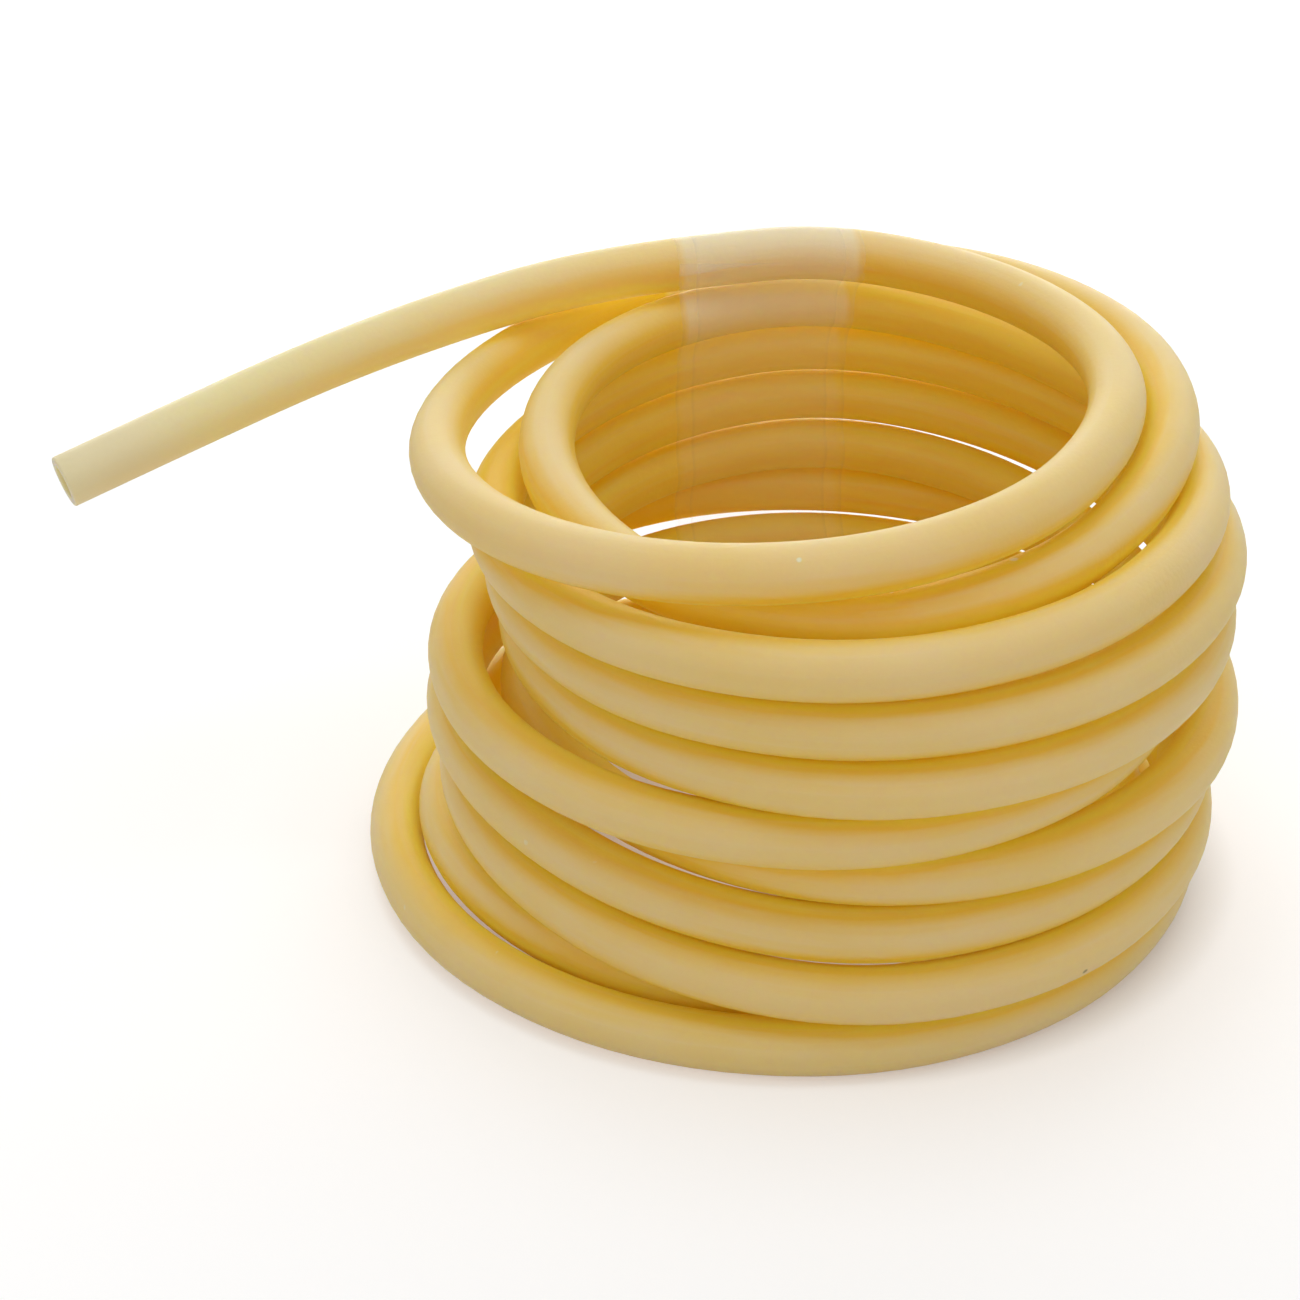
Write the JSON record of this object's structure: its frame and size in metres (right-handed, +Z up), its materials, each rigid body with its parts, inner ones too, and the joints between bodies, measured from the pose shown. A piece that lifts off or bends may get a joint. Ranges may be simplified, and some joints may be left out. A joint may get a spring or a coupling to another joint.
{
  "type": "rubber tubing coil",
  "caption": "Length of amber latex rubber tubing wound into a standing coil, with one end reaching out from the top and a band of clear tape round the turns.",
  "frame": {"origin": "on the coil's axis, at the floor that the lowest turn lies on", "axes": "+Z up along the coil's axis; +Y to the back, where the tape is; the free end reaches out towards -X"},
  "size_m": [0.1748, 0.125, 0.0839],
  "materials": {
    "latex": "satin, translucent amber",
    "clear_tape": "gloss, clear"
  },
  "bodies": {
    "root": {"rubber_tube": "latex", "tape_band": "clear_tape"}
  },
  "joints": []
}
